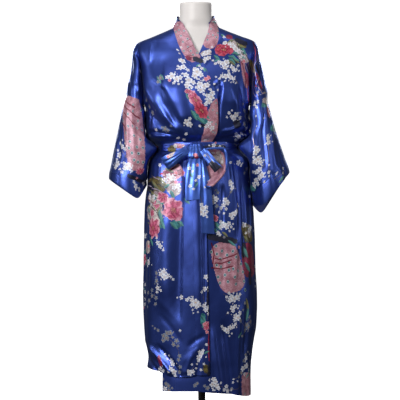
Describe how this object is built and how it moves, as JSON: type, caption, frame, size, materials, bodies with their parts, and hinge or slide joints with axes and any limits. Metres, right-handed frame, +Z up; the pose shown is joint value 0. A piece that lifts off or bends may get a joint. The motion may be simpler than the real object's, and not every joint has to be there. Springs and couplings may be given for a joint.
{
  "type": "kimono robe on a limbless dress form",
  "caption": "Long wrap robe of kimono cut in printed satin with wide sleeves, a front band and a tied belt, worn on a plain limbless dress form on a pole and round base.",
  "frame": {"origin": "centre of the round base's underside, on the floor", "axes": "+Z up; the robe's front faces -Y; +X is the wearer's left"},
  "size_m": [0.613, 0.3313, 1.5],
  "materials": {
    "printed_satin": "royal blue satin with a print of blossom sprays, peonies, leaves and eyed feathers",
    "belt_satin": "the robe's printed satin, cut as a sash",
    "form_shell": "smooth off-white shell, faintly glossy",
    "stand_metal": "dark grey paint"
  },
  "bodies": {
    "root": {"front_right_lapped": "printed_satin", "front_left_under": "printed_satin", "back": "printed_satin", "band_right_lapped": "printed_satin", "band_left_under": "printed_satin", "sleeve_right": "printed_satin", "cuff_right": "printed_satin", "sleeve_left": "printed_satin", "cuff_left": "printed_satin", "belt_waist": "belt_satin", "belt_knot": "belt_satin", "belt_loop_left": "belt_satin", "belt_loop_right": "belt_satin", "belt_strand_right": "belt_satin", "belt_tail_short": "belt_satin", "belt_tail_long": "belt_satin", "dress_form": "form_shell", "stand_pole": "stand_metal", "stand_base": "stand_metal"}
  },
  "joints": []
}
